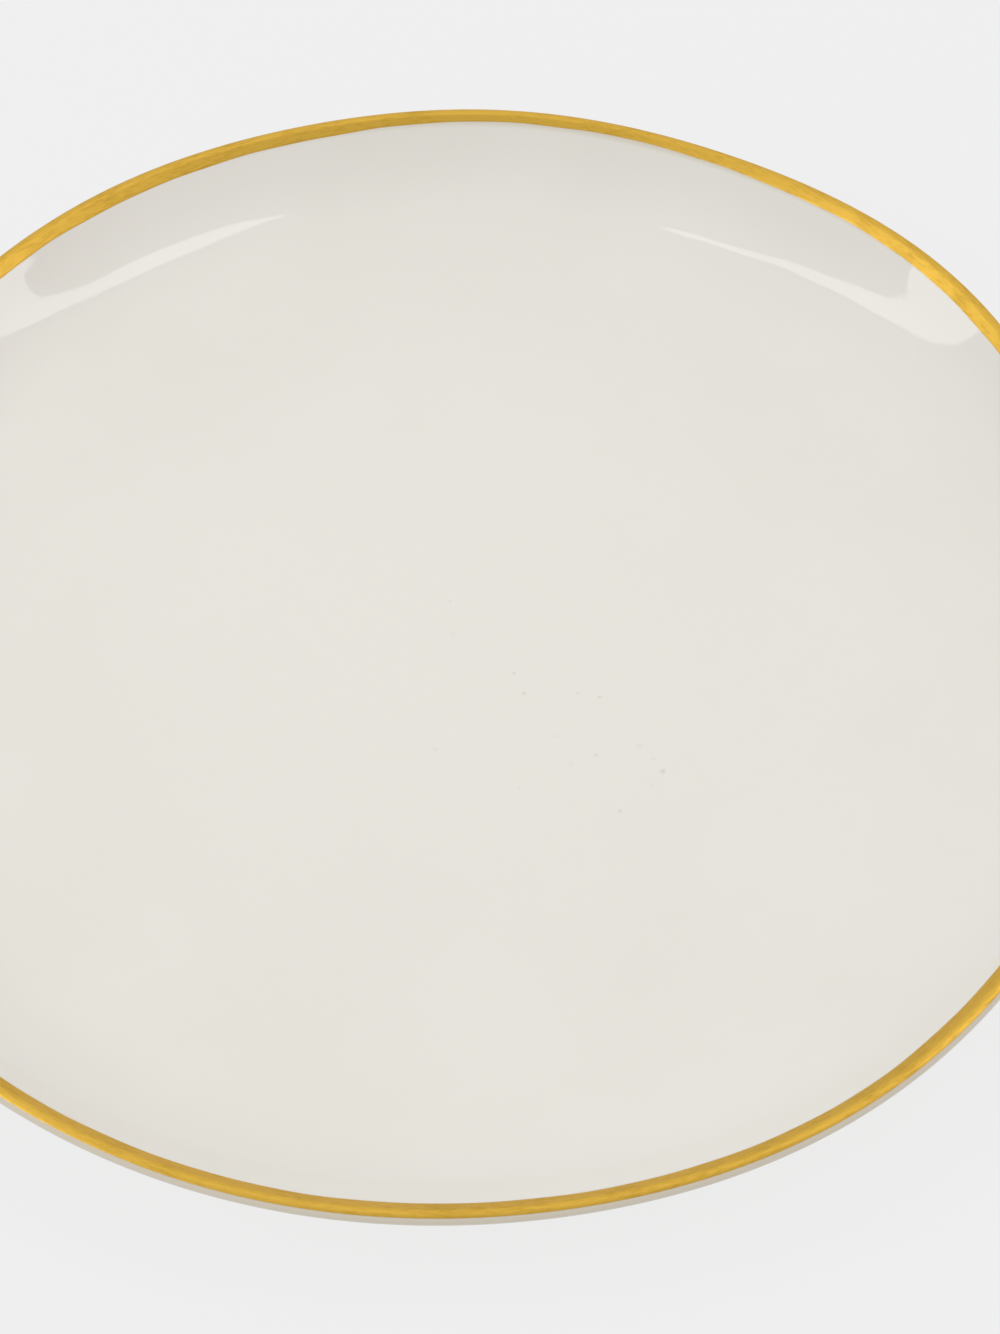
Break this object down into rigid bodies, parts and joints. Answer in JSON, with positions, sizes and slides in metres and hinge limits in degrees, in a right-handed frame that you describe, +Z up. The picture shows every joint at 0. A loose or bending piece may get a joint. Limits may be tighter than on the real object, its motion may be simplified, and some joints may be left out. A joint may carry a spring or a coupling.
{
  "type": "dinner plate",
  "caption": "Round coupe dinner plate of glazed ceramic: a shallow curved dish on a low foot ring, with a gold band painted on the lip.",
  "frame": {"origin": "on the table, under the middle of the plate", "axes": "+Z up, out of the well; the plate is round, so +X and +Y are any two directions square to each other along the table"},
  "size_m": [0.27, 0.27, 0.0232],
  "materials": {
    "clay": "matte fired clay, unglazed",
    "glaze": "glossy warm white glaze with fine specks",
    "gold": "hand-painted gold lustre, fine brush streaks"
  },
  "bodies": {
    "root": {"clay_dish": "clay", "foot_ring": "clay", "front_glaze": "glaze", "back_glaze": "glaze", "recess_glaze": "glaze", "gold_rim_band": "gold"}
  },
  "joints": []
}
